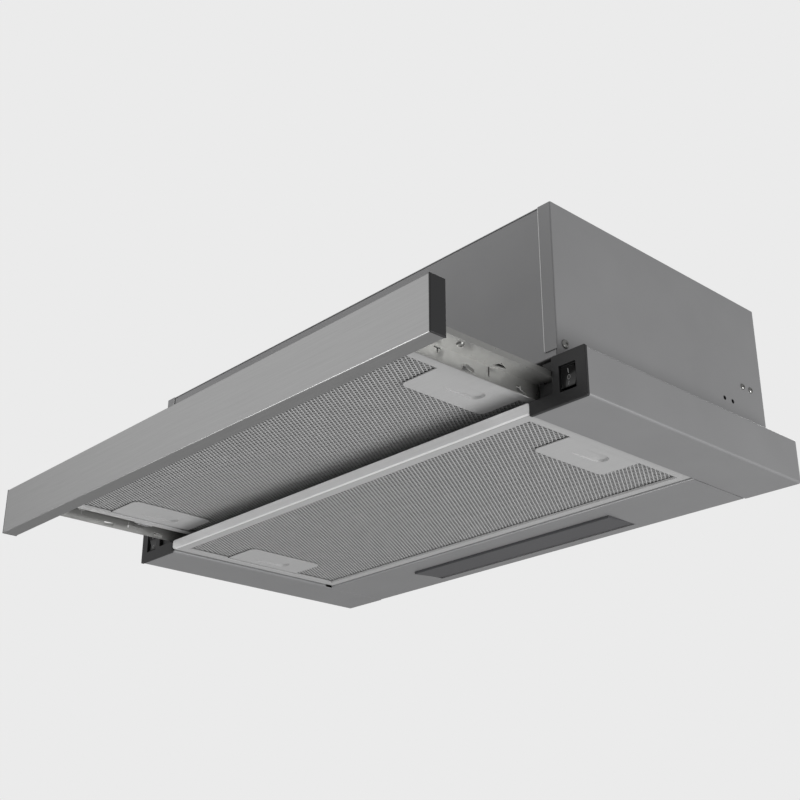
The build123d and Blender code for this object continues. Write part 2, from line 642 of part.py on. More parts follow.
def add_flap(side, knuckles):
    """Half-round damper flap on one side of the pin, with its knuckles, in the open part."""
    with BuildSketch(level(FLAP_BOTTOM)) as sheet:
        with Locations(OUTLET_CENTRE):
            Circle(FLAP_RADIUS)
        keep = sorted((OUTLET_Y + side * HINGE_GAP, OUTLET_Y + side * COLLAR_RADIUS))
        patch((-COLLAR_RADIUS, COLLAR_RADIUS), keep, mode=Mode.INTERSECT)
    extrude(sheet.sketch, amount=FLAP_THICK)
    for x in knuckles:
        web = sorted((OUTLET_Y, OUTLET_Y + side * (HINGE_GAP + 1)))
        block(x, web, (FLAP_BOTTOM, FLAP_BOTTOM + FLAP_THICK))
        rod(section(x[0]), (OUTLET_Y, PIN_Z), KNUCKLE_RADIUS, x[1] - x[0])
        rod(section(x[0]), (OUTLET_Y, PIN_Z), PIN_RADIUS + 0.08, x[1] - x[0], mode=Mode.SUBTRACT)


with BuildPart() as flap_front:
    add_flap(-1, ((-50, -30), (10, 29.6)))
save(flap_front, "damper_flap_front")

with BuildPart() as flap_rear:
    add_flap(1, ((-29.6, -10), (30, 50)))
save(flap_rear, "damper_flap_rear")

# ---------------------------------------------------------------- blower
SCROLL_WALL = 2
NECK = (100, 185)  # the outlet neck, front to rear
INLET_RADIUS = 42
TONGUE_ANGLE = 122
SCROLL_START = 55
SCROLL_END = NECK[1] - SCROLL_WALL - AXLE_Y
TOP_FLANGE = 2
FLANGE_HALF = 54


def scroll_point(step, wall):
    """Point of the spiral, from the tongue (0), round the bottom, to the rear (1)."""
    angle = radians(TONGUE_ANGLE + step * (360 - TONGUE_ANGLE))
    radius = SCROLL_START + step * (SCROLL_END - SCROLL_START) + wall
    return (AXLE_Y + radius * cos(angle), AXLE_Z + radius * sin(angle))


def scroll_outline(wall):
    """Side view of the air passage, grown by the wall: the spiral and the neck above it."""
    with BuildSketch(section(0)) as outline:
        with BuildLine() as edge:
            spiral = Spline(*[scroll_point(step / 8, wall) for step in range(9)])
            Polyline(spiral @ 1, (NECK[1] - SCROLL_WALL + wall, ROOF_UNDER),
                     (NECK[0] + SCROLL_WALL - wall, ROOF_UNDER), spiral @ 0)
        make_face(edge.edges())
    return outline.sketch


with BuildPart() as scroll:
    extrude(scroll_outline(SCROLL_WALL), amount=SCROLL_HALF)
    block((0, FLANGE_HALF), (NECK[0] - 12, NECK[1] + 12), (ROOF_UNDER - TOP_FLANGE, ROOF_UNDER))
    extrude(scroll_outline(0), amount=SCROLL_HALF - SCROLL_WALL, mode=Mode.SUBTRACT)
    rod(section(0), (AXLE_Y, AXLE_Z), INLET_RADIUS, SCROLL_HALF + 1, mode=Mode.SUBTRACT)
    with BuildSketch(level(ROOF_UNDER - 3)):
        with Locations(OUTLET_CENTRE):
            with PolarLocations(COLLAR_SCREWS, 4, start_angle=45):
                Circle(SCREW_SHANK)
    extrude(amount=4, mode=Mode.SUBTRACT)
save_pair(scroll, "blower_scroll")

BLADE_LENGTH = 9
BLADE_THICK = 0.9
BLADE_LEAN = 35
BLADE_RING = WHEEL_RADIUS - BLADE_LENGTH / 2 - 0.6
with BuildPart() as wheel:
    with BuildSketch(section(-WHEEL_HALF)):
        with Locations((AXLE_Y, AXLE_Z)):
            with PolarLocations(BLADE_RING, BLADES):
                Rectangle(BLADE_LENGTH, BLADE_THICK, rotation=BLADE_LEAN)
    extrude(amount=2 * WHEEL_HALF)
    for x, radius, bore, thick in (
        (-WHEEL_HALF, WHEEL_RADIUS, BLADE_RING - 4, 2),
        (WHEEL_HALF - 2, WHEEL_RADIUS, BLADE_RING - 4, 2),
        (-1, WHEEL_RADIUS, SHAFT_RADIUS, 2),
        (-7, 9, SHAFT_RADIUS, 14),
    ):
        with BuildSketch(section(x)):
            with Locations((AXLE_Y, AXLE_Z)):
                Circle(radius)
                Circle(bore, mode=Mode.SUBTRACT)
        extrude(amount=thick)
save(wheel, "blower_wheel")

MOTOR = (10, 52)
MOTOR_RADIUS = 26
BEARING_RADIUS = 9
BEARING_LENGTH = 5
SHAFT = (-12, MOTOR[1] + 3)
with BuildPart() as shaft:
    rod(section(SHAFT[0]), (AXLE_Y, AXLE_Z), SHAFT_RADIUS, SHAFT[1] - SHAFT[0])
save(shaft, "motor_shaft")

with BuildPart() as motor:
    rod(section(MOTOR[0]), (AXLE_Y, AXLE_Z), MOTOR_RADIUS, MOTOR[1] - MOTOR[0])
    fillet(motor.edges().filter_by(GeomType.CIRCLE), 3)
    rod(section(MOTOR[0]), (AXLE_Y, AXLE_Z), SHAFT_RADIUS + 1, MOTOR[1] - MOTOR[0], mode=Mode.SUBTRACT)
    for x in (MOTOR[0], MOTOR[1] - BEARING_LENGTH):
        rod(section(x), (AXLE_Y, AXLE_Z), BEARING_RADIUS, BEARING_LENGTH, mode=Mode.SUBTRACT)
save(motor, "motor_body")

with BuildPart() as bearings:
    for x in (MOTOR[0], MOTOR[1] - BEARING_LENGTH):
        with BuildSketch(section(x)):
            with Locations((AXLE_Y, AXLE_Z)):
                Circle(BEARING_RADIUS)
                Circle(SHAFT_RADIUS + 0.05, mode=Mode.SUBTRACT)
        extrude(amount=BEARING_LENGTH)
save(bearings, "motor_bearings")

with BuildPart() as bracket:
    with BuildSketch(section(SCROLL_HALF)):
        with Locations((AXLE_Y, AXLE_Z)):
            Circle(INLET_RADIUS + 9)
            Circle(INLET_RADIUS + 1, mode=Mode.SUBTRACT)
            with PolarLocations((MOTOR_RADIUS + INLET_RADIUS + 4) / 2, 3, start_angle=90):
                Rectangle(INLET_RADIUS - MOTOR_RADIUS + 3, 12)
            Circle(MOTOR_RADIUS + 4)
            Circle(MOTOR_RADIUS, mode=Mode.SUBTRACT)
    extrude(amount=2)
    with BuildSketch(section(SCROLL_HALF)):
        with Locations((AXLE_Y, AXLE_Z)):
            Circle(MOTOR_RADIUS + 3)
            Circle(MOTOR_RADIUS, mode=Mode.SUBTRACT)
    extrude(amount=8)
save(bracket, "motor_bracket")

# ---------------------------------------------------------------- electrical pieces
BOX_X = (178, 232)
BOX_Y = (215, 265)
BOX_BOTTOM = 140
with BuildPart() as terminal_box:
    block(BOX_X, BOX_Y, (BOX_BOTTOM, ROOF_UNDER))
    block((BOX_X[0] + 2, BOX_X[1] - 2), (BOX_Y[0] + 2, BOX_Y[1] - 2), (BOX_BOTTOM - 1, ROOF_UNDER - 2),
          mode=Mode.SUBTRACT)
    rod(level(ROOF_UNDER - 3), GLAND_PLACE, GLAND_RADIUS, 4, mode=Mode.SUBTRACT)
save(terminal_box, "terminal_box")

with BuildPart() as lid:
    block(BOX_X, BOX_Y, (BOX_BOTTOM - 2, BOX_BOTTOM))
    fillet(lid.edges().filter_by(Axis.Z), 2)
save(lid, "terminal_box_lid")

GLAND_BORE = 4
with BuildPart() as gland:
    rod(level(ROOF_UNDER - 8), GLAND_PLACE, GLAND_RADIUS, 12)
    rod(level(HEIGHT), GLAND_PLACE, GLAND_RADIUS + 4, 3)
    with BuildSketch(level(HEIGHT + 3)):
        with Locations(GLAND_PLACE):
            RegularPolygon(11, 6)
    extrude(amount=7)
    rod(level(HEIGHT + 10), GLAND_PLACE, GLAND_RADIUS - 0.5, 5)
    fillet(gland.edges().filter_by(GeomType.CIRCLE).sort_by(Axis.Z)[-1], 3)
    rod(level(ROOF_UNDER - 9), GLAND_PLACE, GLAND_BORE, 40, mode=Mode.SUBTRACT)
save(gland, "cable_gland")

CAPACITOR = (150, 240)
CAPACITOR_BOTTOM = BOX_BOTTOM - 20
with BuildPart() as capacitor:
    rod(level(CAPACITOR_BOTTOM), CAPACITOR, 15, ROOF_UNDER - CAPACITOR_BOTTOM)
    fillet(capacitor.edges().filter_by(GeomType.CIRCLE).sort_by(Axis.Z)[0], 2)
save(capacitor, "motor_capacitor")

# ---------------------------------------------------------------- lamp
LAMP_WALL = 1.5
LAMP_TOP = 26
with BuildPart() as lamp_housing:
    outer = 2.5
    block((-LENS_HALF - outer, LENS_HALF + outer), (LENS_FRONT - outer, LENS_REAR + outer),
          (2 * SHEET, LAMP_TOP))
    fillet(lamp_housing.edges().filter_by(Axis.Z), 2)
    inner = 1
    block((-LENS_HALF - inner, LENS_HALF + inner), (LENS_FRONT - inner, LENS_REAR + inner),
          (0, LAMP_TOP - LAMP_WALL), mode=Mode.SUBTRACT)
save(lamp_housing, "lamp_housing")

LENS_DROP = 2.7  # the front edge of the lens hangs this far below the base
LENS_LIFT = 0.9
LENS_WALL = 1.8
with BuildPart() as lens:
    with BuildSketch(section(-LENS_HALF)):
        with BuildLine():
            Polyline((LENS_FRONT, -LENS_DROP), (LENS_REAR, LENS_LIFT), (LENS_REAR, 7), (LENS_FRONT, 7),
                     close=True)
        make_face()
    extrude(amount=2 * LENS_HALF)
    fillet(lens.faces().sort_by(Axis.Z)[0].edges(), 0.6)
    with BuildSketch(section(LENS_WALL - LENS_HALF)):
        with BuildLine():
            Polyline((LENS_FRONT + LENS_WALL, LENS_WALL - LENS_DROP),
                     (LENS_REAR - LENS_WALL, LENS_WALL + LENS_LIFT), (LENS_REAR - LENS_WALL, 8),
                     (LENS_FRONT + LENS_WALL, 8), close=True)
        make_face()
    extrude(amount=2 * (LENS_HALF - LENS_WALL), mode=Mode.SUBTRACT)
save(lens, "lamp_lens")

BOARD_TOP = LAMP_TOP - LAMP_WALL
BOARD_THICK = 1.6
LED_RISE = 0.8
LEDS = 12
LED_PITCH = 20
with BuildPart() as led_board:
    block((-120, 120), (243, 261), (BOARD_TOP - BOARD_THICK, BOARD_TOP))
    with BuildSketch(level(BOARD_TOP - BOARD_THICK - LED_RISE)):
        with Locations((0, (LENS_FRONT + LENS_REAR) / 2)):
            with GridLocations(LED_PITCH, 1, LEDS, 1):
                Rectangle(3.5, 2.8)
    extrude(amount=LED_RISE)
save(led_board, "lamp_led_board")


# ---------------------------------------------------------------- screws
def add_screw(plane, centre, head, height, shank):
    """Pan-head screw: the head stands out along the plane's normal and the shank goes back."""
    with BuildSketch(plane) as cap:
        with Locations(centre):
            Circle(head)
    extrude(cap.sketch, amount=height)
    with BuildSketch(plane) as stem:
        with Locations(centre):
            Circle(SCREW_SHANK - 0.1)
    extrude(stem.sketch, amount=-shank)


with BuildPart() as pan_screw:
    add_screw(section(WALL), SIDE_SCREWS[0], SCREW_HEAD, 2, 6)
    fillet(pan_screw.faces().sort_by(Axis.X)[-1].edges(), 1.2)
with BuildPart() as roof_screws:
    with Locations(OUTLET_CENTRE):
        for corner in PolarLocations(COLLAR_SCREWS, 4, start_angle=45):
            add_screw(level(HEIGHT + 1.5), (corner.position.X, corner.position.Y), SCREW_HEAD, 2, 6)
    fillet(roof_screws.faces().sort_by(Axis.Z)[-4:].edges(), 1.2)
with BuildPart() as pan_screws:
    mirror(pan_screw.part, about=Plane.YZ)
    add(pan_screw.part)
    add(roof_screws.part)
save(pan_screws, "housing_screws")

with BuildPart() as rear_screw:
    for place in SIDE_SCREWS[1:]:
        add_screw(section(WALL), place, 2.8, 1.4, 5)
    fillet(rear_screw.faces().sort_by(Axis.X)[-2:].edges(), 0.9)
with BuildPart() as rear_screws:
    mirror(rear_screw.part, about=Plane.YZ)
    add(rear_screw.part)
save(rear_screws, "bracket_screws")

with BuildPart() as drawer_screw:
    rod(level(FLANGE_UNDER - 1.8), RAIL_SCREW, 3, 1.8)
    fillet(drawer_screw.faces().sort_by(Axis.Z)[0].edges(), 1)
    rod(level(FLANGE_UNDER), RAIL_SCREW, SCREW_SHANK - 0.1, 3)
    rod(station(RAIL_FRONT + RAIL + 1.8), FACIA_SCREW, 3, 1.8)
    rod(station(RAIL_FRONT + RAIL), FACIA_SCREW, SCREW_SHANK - 0.1, 4)
with BuildPart() as drawer_screws:
    mirror(drawer_screw.part, about=Plane.YZ)
    add(drawer_screw.part)
save(drawer_screws, "drawer_screws")
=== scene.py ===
# %% [markdown]
# # A pull-out cooker hood, seen from below
#
# The hood hangs inside a wall cabinet. Its sheet-steel housing, blower, drawer, filters and
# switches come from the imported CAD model, which is the fixed frame of this scene. Blender adds what
# a CAD solid leaves out: expanded mesh in the filters, recessed screw heads, the marks on the
# rockers, real finishes, and soft studio light.

# %% Load the frame
import json
import math

import bmesh
import bpy
from mathutils import Matrix, Vector


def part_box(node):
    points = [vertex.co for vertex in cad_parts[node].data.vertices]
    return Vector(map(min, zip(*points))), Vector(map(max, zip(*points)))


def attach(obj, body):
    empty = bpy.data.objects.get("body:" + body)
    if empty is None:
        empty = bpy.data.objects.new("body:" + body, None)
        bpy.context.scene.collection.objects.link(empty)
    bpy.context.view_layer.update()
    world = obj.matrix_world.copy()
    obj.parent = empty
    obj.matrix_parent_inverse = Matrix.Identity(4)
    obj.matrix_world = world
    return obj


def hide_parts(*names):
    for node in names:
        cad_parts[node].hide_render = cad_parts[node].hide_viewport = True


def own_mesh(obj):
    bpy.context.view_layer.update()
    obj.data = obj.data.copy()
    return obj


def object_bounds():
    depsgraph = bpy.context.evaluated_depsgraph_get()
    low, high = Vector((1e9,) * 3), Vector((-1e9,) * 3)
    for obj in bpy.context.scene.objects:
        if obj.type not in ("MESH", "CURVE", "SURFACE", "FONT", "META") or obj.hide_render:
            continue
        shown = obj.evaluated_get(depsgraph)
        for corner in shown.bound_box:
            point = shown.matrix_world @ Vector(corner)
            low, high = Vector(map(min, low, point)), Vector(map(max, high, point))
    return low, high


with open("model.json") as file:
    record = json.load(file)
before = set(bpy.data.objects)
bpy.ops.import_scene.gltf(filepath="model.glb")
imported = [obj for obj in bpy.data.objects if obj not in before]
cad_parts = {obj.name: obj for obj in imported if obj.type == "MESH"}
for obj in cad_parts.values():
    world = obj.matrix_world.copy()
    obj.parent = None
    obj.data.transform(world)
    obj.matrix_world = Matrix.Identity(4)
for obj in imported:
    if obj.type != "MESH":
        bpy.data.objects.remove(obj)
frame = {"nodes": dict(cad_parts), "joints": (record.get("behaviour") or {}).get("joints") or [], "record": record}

cad_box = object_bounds()
bodies = frame["record"]["behaviour"]["bodies"]
body_of = {node: body for body, nodes in bodies.items() for node in nodes}
MM = 0.001
size = (cad_box[1] - cad_box[0]) / MM
print(f"{len(frame['nodes'])} CAD nodes on {len(bodies)} bodies")
print(f"{size.x:.0f} x {size.y:.0f} x {size.z:.0f} mm")

# %% [markdown]
# ## Small helpers for materials
#
# Colours are written as the hex values that a paint chart would give, and Blender's shaders want
# linear light, so one function converts them. A second function adds any node: it takes the node's
# type, its inputs, which may be numbers or another node's output, and then its settings. With these
# two, each material reads as a short recipe.


# %% Colour and node helpers
def linear(hex_code):
    """An sRGB hex colour as linear RGBA."""
    channels = [int(hex_code[i:i + 2], 16) / 255 for i in (1, 3, 5)]
    curve = [c / 12.92 if c <= 0.04045 else ((c + 0.055) / 1.055) ** 2.4 for c in channels]
    return (*curve, 1.0)


def add_node(tree, kind, inputs=(), **settings):
    """Add a node, set its properties, and fill or link its inputs by name or number."""
    node = tree.nodes.new(kind)
    for name, value in settings.items():
        setattr(node, name, value)
    for key, value in dict(inputs).items():
        if isinstance(value, bpy.types.NodeSocket):
            tree.links.new(value, node.inputs[key])
        else:
            node.inputs[key].default_value = value
    return node


def new_material(name, color=None, **sockets):
    """A material with one Principled shader whose constant values sit on its own sockets."""
    material = bpy.data.materials.new(name)
    material.use_nodes = True
    tree = material.node_tree
    shader = tree.nodes["Principled BSDF"]
    if color:
        shader.inputs["Base Color"].default_value = linear(color)
    for label, value in sockets.items():
        shader.inputs[label.replace("_", " ")].default_value = value
    return material, tree, shader


def grain(tree, pitch, detail=2.0, stretch=(1, 1, 1)):
    """Noise whose features are about pitch millimetres across, drawn out along an axis by stretch."""
    place = add_node(tree, "ShaderNodeTexCoord").outputs["Object"]
    scale = [1 / (pitch * MM * s) for s in stretch]
    mapped = add_node(tree, "ShaderNodeMapping", {"Vector": place, "Scale": scale})
    noise = add_node(tree, "ShaderNodeTexNoise",
                     {"Vector": mapped.outputs["Vector"], "Scale": 1.0, "Detail": detail})
    return noise.outputs["Fac"]


def spread(tree, value, low, high):
    """Map a 0 to 1 pattern to the range from low to high."""
    node = add_node(tree, "ShaderNodeMapRange", {"Value": value, "To Min": low, "To Max": high})
    return node.outputs["Result"]


def vary_color(tree, shader, pattern, color_at_zero, color_at_one):
    """Mix two hex colours by a 0 to 1 pattern."""
    mix = add_node(tree, "ShaderNodeMix", {"Factor": pattern}, data_type="RGBA")
    mix.inputs["A"].default_value = linear(color_at_zero)
    mix.inputs["B"].default_value = linear(color_at_one)
    tree.links.new(mix.outputs["Result"], shader.inputs["Base Color"])


def emboss(tree, shader, pattern, height):
    """Raise the surface by a pattern, height in millimetres."""
    bump = add_node(tree, "ShaderNodeBump", {"Height": pattern, "Distance": height * MM, "Strength": 1.0})
    tree.links.new(bump.outputs["Normal"], shader.inputs["Normal"])


# %% [markdown]
# ## Painted and brushed steel
#
# The housing and base are folded from sheet that was sprayed with a silver-grey stoving enamel.
# Enamel lays flat but keeps a faint orange peel about two millimetres across, which softens
# reflections without showing as a texture. The facia is bare stainless steel, brushed along its
# length: short scratches, tenths of a millimetre wide and centimetres long, stretch every highlight
# across the grain. The scratches are drawn about twice as wide as real ones, because finer ones
# would vanish at this distance. The drawer's rails are galvanised, which leaves crystals in the
# zinc.


# %% Steel finishes
def make_enamel():
    """Stoving enamel: a satin, slightly metallic grey with a soft highlight."""
    material, tree, shader = new_material("stoving enamel on steel", Metallic=0.3, Roughness=0.38)
    vary_color(tree, shader, grain(tree, 60, 3), "#868687", "#8f8f90")
    emboss(tree, shader, grain(tree, 2.2, 1), 0.012)
    return material


def make_brushed_stainless():
    """Brushed stainless: streaks along X in colour, in roughness and in height."""
    material, tree, shader = new_material("brushed stainless steel", Metallic=1.0)
    streaks = grain(tree, 0.5, 3, stretch=(90, 1, 1))
    vary_color(tree, shader, streaks, "#9b9b9b", "#b4b4b4")
    tree.links.new(spread(tree, streaks, 0.28, 0.44), shader.inputs["Roughness"])
    emboss(tree, shader, streaks, 0.02)
    return material


def make_zinc_sheet():
    """Hot-dip zinc: pale, with crystals a few millimetres across that barely differ."""
    material, tree, shader = new_material("galvanised sheet", Metallic=0.8)
    place = add_node(tree, "ShaderNodeTexCoord").outputs["Object"]
    spangle = add_node(tree, "ShaderNodeTexVoronoi", {"Vector": place, "Scale": 1 / (6 * MM)})
    vary_color(tree, shader, spangle.outputs["Distance"], "#ababa9", "#a4a4a2")
    tree.links.new(spread(tree, spangle.outputs["Distance"], 0.27, 0.33), shader.inputs["Roughness"])
    return material


# %% [markdown]
# ## Aluminium for the filters
#
# The filter frames, latches and mesh are rolled aluminium with a mill finish. It is paler and
# duller than steel, with a faint directional haze. The mesh and the bar at the front of the base
# get versions of their own: cutting and stretching roughens every strand, and the extruded bar is
# drawn the palest part of all. That paleness is painted light: it stands for the light that the
# bar catches from low in front.


# %% Aluminium finishes
def make_mill_aluminium():
    """Rolled aluminium: pale and hazy, with faint rolling lines along X."""
    material, tree, shader = new_material("mill-finish aluminium", Metallic=0.3, Roughness=0.5)
    lines = grain(tree, 0.8, 2, stretch=(30, 1, 1))
    vary_color(tree, shader, lines, "#b0b0b0", "#bcbcbc")
    return material


def make_pale_painted_light_aluminium():
    """Aluminium for the extruded bar: matt, with fine draw lines along X, and drawn pale as painted light from low
    in front.
    """
    material, tree, shader = new_material("bar aluminium, pale with painted light", Metallic=0.3, Roughness=0.42)
    # the pale grey stands for light falling on the bar: painted light
    vary_color(tree, shader, grain(tree, 0.7, 2, stretch=(60, 1, 1)), "#dedede", "#ececec")
    return material


def make_strand_aluminium():
    """Freshly cut aluminium strands."""
    material, tree, shader = new_material("expanded aluminium", Metallic=0.2, Roughness=0.5)
    vary_color(tree, shader, grain(tree, 25, 2), "#ababab", "#b9b9b9")
    return material


# %% [markdown]
# ## Plastics, small metals and the lamp
#
# End caps, switch bezels and the blower are injection-moulded ABS with a fine spark-eroded grain
# that keeps black parts from looking like glass. The rockers are polished instead. The lamp cover
# is smoked polycarbonate, dark grey and smooth. Springs, screws, bushes and the motor shell are
# plain metals, and they differ mainly in colour and roughness.


# %% Plastics
def make_moulded_abs():
    """Moulded ABS with an eroded grain of about 0.3 mm, drawn at 0.6 mm to show."""
    material, tree, shader = new_material("moulded black ABS", "#242425", Specular_IOR_Level=0.4)
    texture = grain(tree, 0.6, 1)
    tree.links.new(spread(tree, texture, 0.4, 0.6), shader.inputs["Roughness"])
    emboss(tree, shader, texture, 0.03)
    return material


def make_polished_abs():
    """Polished ABS: the same plastic out of a mirror-finished mould."""
    material, tree, shader = new_material("polished black ABS", "#080809", Specular_IOR_Level=0.35)
    tree.links.new(spread(tree, grain(tree, 9, 1), 0.1, 0.18), shader.inputs["Roughness"])
    return material


def make_smoked_polycarbonate():
    """Smoked polycarbonate: a grey sheet, frosted inside, with a smooth outer face."""
    material, tree, shader = new_material("smoked polycarbonate", Roughness=0.4, Specular_IOR_Level=0.25)
    vary_color(tree, shader, grain(tree, 80, 1), "#464648", "#4e4e50")
    return material


def make_plain(name, color, metallic, roughness, mottle):
    """A plain finish with faint mottling of mottle millimetres in its gloss."""
    material, tree, shader = new_material(name, color, Metallic=metallic)
    tree.links.new(spread(tree, grain(tree, mottle, 2), roughness - 0.05, roughness + 0.05),
                   shader.inputs["Roughness"])
    return material


# %% Paint every CAD node by its slot in the record
finishes = {
    "painted_steel": make_enamel(),
    "brushed_steel": make_brushed_stainless(),
    "galvanised_steel": make_zinc_sheet(),
    "black_plastic": make_moulded_abs(),
    "rocker_plastic": make_polished_abs(),
    "filter_aluminium": make_mill_aluminium(),
    "spring_steel": make_plain("bright spring steel", "#9a9a9c", 1.0, 0.25, 4),
    "screw_steel": make_plain("zinc-plated screw", "#9c9c9a", 1.0, 0.22, 2),
    "motor_steel": make_plain("painted motor shell", "#4c4c4e", 0.2, 0.5, 8),
    "bronze_bush": make_plain("sintered bronze", "#9a7440", 1.0, 0.5, 1),
    "lamp_white": make_plain("white moulded ABS", "#dededc", 0.0, 0.45, 5),
    "lens_smoke": make_smoked_polycarbonate(),
    "board": make_plain("white solder mask", "#d8d8d2", 0.0, 0.35, 6),
}
strand_aluminium = make_strand_aluminium()
pale_painted_light_aluminium = make_pale_painted_light_aluminium()

for subpart in frame["record"]["subparts"]:
    mesh = frame["nodes"][subpart["node"]].data
    mesh.materials.clear()
    # the front bar takes the pale aluminium, whose colour is painted light
    mesh.materials.append(pale_painted_light_aluminium if subpart["node"] == "front_beam" else finishes[subpart["material_slot"]])

# %% [markdown]
# ## Helpers for new pieces
#
# A new piece is a mesh in the same metres as the CAD. It rides on the CAD body it is fixed to, and
# carries its own material. A piece that starts from a CAD node starts from a merged copy, so the
# node itself is never touched. Geometry Nodes trees are built with named inputs. Their values are set
# on the modifier by each socket's identifier, and the result is turned into a plain mesh, because an
# exported model can't carry instances.


# %% Piece helpers
def add_piece(name, mesh, body, material):
    """Put a mesh in the scene as a finished piece that moves with a body."""
    piece = bpy.data.objects.new(name, mesh)
    bpy.context.scene.collection.objects.link(piece)
    if material.name not in piece.data.materials:
        piece.data.materials.append(material)
    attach(piece, body)
    return piece


def merged_copy(node):
    """A copy of a CAD node's loose triangles with their shared corners merged."""
    shell = bmesh.new()
    shell.from_mesh(frame["nodes"][node].data)
    bmesh.ops.remove_doubles(shell, verts=shell.verts, dist=1e-6)
    return shell


def as_mesh(shell, name):
    """Turn a finished bmesh into a plain mesh."""
    mesh = bpy.data.meshes.new(name)
    shell.to_mesh(mesh)
    shell.free()
    return mesh


def new_tree(name, inputs):
    """An empty Geometry Nodes tree with a geometry in and out, and named inputs after them."""
    tree = bpy.data.node_groups.new(name, "GeometryNodeTree")
    tree.interface.new_socket("Geometry", in_out="INPUT", socket_type="NodeSocketGeometry")
    tree.interface.new_socket("Geometry", in_out="OUTPUT", socket_type="NodeSocketGeometry")
    for label, kind in inputs.items():
        tree.interface.new_socket(label, in_out="INPUT", socket_type=kind)
    return tree, add_node(tree, "NodeGroupInput").outputs


def end_tree(tree, geometry, material):
    """Realize the instances, set the material and send the result out."""
    real = add_node(tree, "GeometryNodeRealizeInstances", {"Geometry": geometry})
    painted = add_node(tree, "GeometryNodeSetMaterial",
                       {"Geometry": real.outputs["Geometry"], "Material": material})
    add_node(tree, "NodeGroupOutput", {"Geometry": painted.outputs["Geometry"]})


def grow(tree, values, base=None):
    """Run a tree on a base mesh and return its result as a plain mesh."""
    base = base or bpy.data.meshes.new("empty base")
    carrier = bpy.data.objects.new("carrier", base)
    bpy.context.scene.collection.objects.link(carrier)
    modifier = carrier.modifiers.new("tree", "NODES")
    modifier.node_group = tree
    for item in tree.interface.items_tree:
        if item.in_out == "INPUT" and item.name in values:
            modifier[item.identifier] = values[item.name]
    evaluated = carrier.evaluated_get(bpy.context.evaluated_depsgraph_get())
    mesh = bpy.data.meshes.new_from_object(evaluated)
    carrier.modifiers.remove(modifier)
    bpy.data.objects.remove(carrier)
    return mesh


def math_node(tree, operation, a, b=0.0):
    """One step of arithmetic."""
    return add_node(tree, "ShaderNodeMath", {0: a, 1: b}, operation=operation).outputs[0]


# %% [markdown]
# ## Expanded mesh in the grease filters
#
# A grease filter is a pack of expanded aluminium: thin sheet is slit in staggered rows and pulled
# until the slits open into diamonds, here 4.0 mm wide and 6.3 mm long. Pulling also tips every
# strand, so its lower face looks a little to the rear. Seen from one corner, the strands that lean
# one way are then broad and the others nearly edge-on, and the mesh shows as slanting lines. A bump
# map can't do that, so the layer that you see is real geometry. The middles of all strands lie on
# one plain grid, and their direction alternates like a chessboard. That makes the whole layer one
# grid of points with an instance on each. A strand is a four-sided sleeve without end caps, so
# 14,000 of them stay light.

# %% Strand tree
DIAMOND = (4.0 * MM, 6.3 * MM)
STRAND_WIDTH = 1.1 * MM
STRAND_THICK = 0.25 * MM
STRAND_TIP = math.radians(-16)  # about its own line, the other way for strands that lean the other way
STRAND_REACH = 0.54  # each way from its middle, as a share of a diamond's edge, so that strands meet


